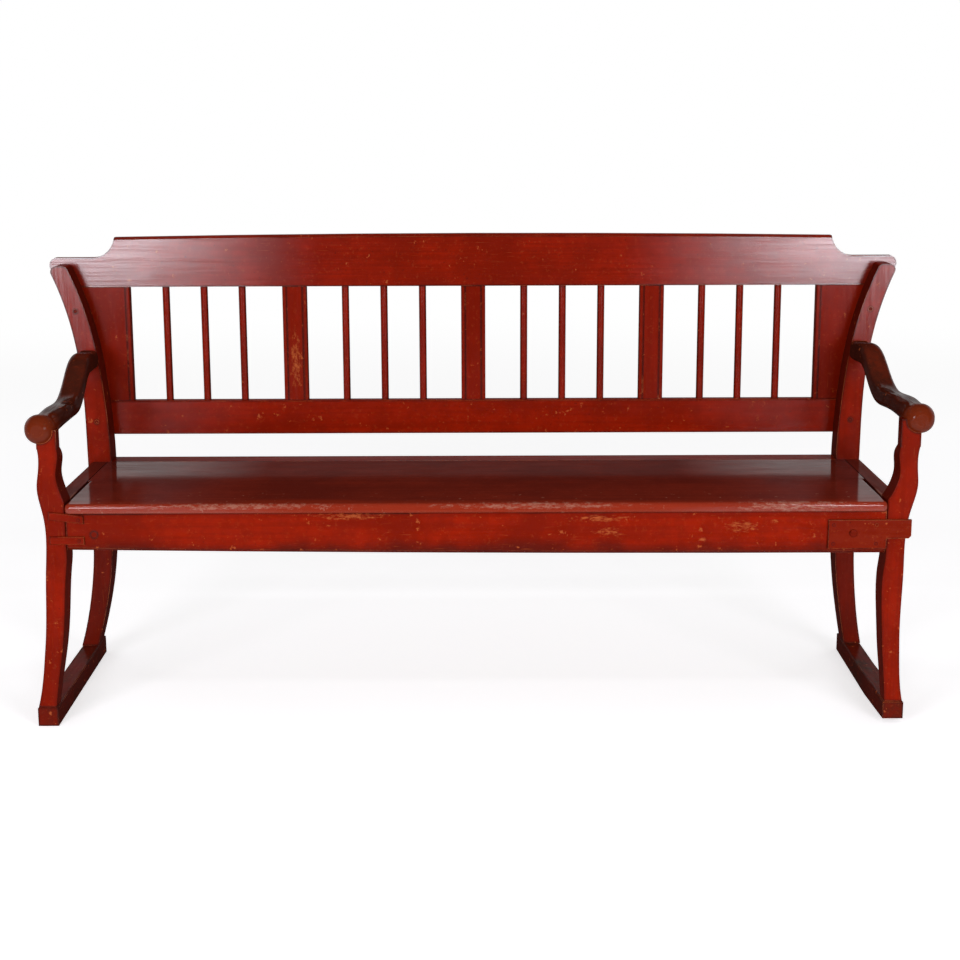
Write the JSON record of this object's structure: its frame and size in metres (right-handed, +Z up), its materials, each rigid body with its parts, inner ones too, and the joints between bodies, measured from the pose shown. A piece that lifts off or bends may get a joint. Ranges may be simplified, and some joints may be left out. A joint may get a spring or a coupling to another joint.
{
  "type": "pull-out bench bed",
  "caption": "Painted open-armed wooden bench with a spindled back; its seat slides forward like a drawer on slats to make a bed, carried by drop legs behind the apron.",
  "frame": {"origin": "on the floor, under the middle of the bench's overall box", "axes": "+X to the right of a front view along the bench, +Y from the seat front to the back, +Z up"},
  "size_m": [1.807, 0.5, 0.931],
  "materials": {
    "red_paint": "old oxblood-red oil paint, glossy, worn to wood at edges",
    "arm_paint": "red paint handled dark brown, polished, worn orange on the ridge and knob",
    "seat_paint": "dark maroon paint, glossy, with long brush marks and worn patches",
    "bare_pine": "bare aged pine, sawn, matt",
    "wrought_iron": "dark forged iron, dull",
    "painted_iron": "forged iron under the same red paint"
  },
  "bodies": {
    "frame": {"runner_left": "red_paint", "runner_right": "red_paint", "front_leg_left": "red_paint", "front_leg_right": "red_paint", "back_post_left": "red_paint", "back_post_right": "red_paint", "end_rail_left": "red_paint", "end_rail_right": "red_paint", "crest_rail": "red_paint", "lower_back_rail": "red_paint", "end_stile_left": "red_paint", "end_stile_right": "red_paint", "mid_stile_left": "red_paint", "mid_stile_centre": "red_paint", "mid_stile_right": "red_paint", "spindle_01": "red_paint", "spindle_02": "red_paint", "spindle_03": "red_paint", "spindle_04": "red_paint", "spindle_05": "red_paint", "spindle_06": "red_paint", "spindle_07": "red_paint", "spindle_08": "red_paint", "spindle_09": "red_paint", "spindle_10": "red_paint", "spindle_11": "red_paint", "spindle_12": "red_paint", "arm_left": "arm_paint", "arm_right": "arm_paint", "joint_pegs": "red_paint", "rear_seat_rail": "red_paint", "front_bearer": "bare_pine", "fixed_slat_1": "bare_pine", "fixed_slat_2": "bare_pine", "fixed_slat_3": "bare_pine", "fixed_slat_4": "bare_pine", "fixed_slat_5": "bare_pine", "fixed_slat_6": "bare_pine", "fixed_slat_7": "bare_pine", "slat_nails": "wrought_iron"},
    "pull_out_seat": {"seat_board_front": "seat_paint", "seat_board_rear": "seat_paint", "apron": "red_paint", "rear_cross_bar": "bare_pine", "sliding_slat_1": "bare_pine", "sliding_slat_2": "bare_pine", "sliding_slat_3": "bare_pine", "sliding_slat_4": "bare_pine", "sliding_slat_5": "bare_pine", "sliding_slat_6": "bare_pine", "lap_plate": "red_paint", "lap_strap_upper": "painted_iron", "lap_strap_lower": "painted_iron", "lap_nails": "wrought_iron", "pivot_bolts": "wrought_iron", "pivot_washers": "wrought_iron", "pivot_nuts": "wrought_iron"},
    "left_drop_leg": {"drop_leg_left": "bare_pine"},
    "right_drop_leg": {"drop_leg_right": "bare_pine"}
  },
  "joints": [
    {"name": "seat_slide", "type": "slide", "parent": "frame", "child": "pull_out_seat", "axis": [0, -1, 0], "range_m": [0, 0.288]},
    {"name": "left_leg_swing", "type": "hinge", "parent": "pull_out_seat", "child": "left_drop_leg", "pos_m": [-0.733, -0.203, 0.388], "axis": [0, 1, 0], "range_deg": [0, 90]},
    {"name": "right_leg_swing", "type": "hinge", "parent": "pull_out_seat", "child": "right_drop_leg", "pos_m": [0.733, -0.203, 0.388], "axis": [0, -1, 0], "range_deg": [0, 90]}
  ]
}
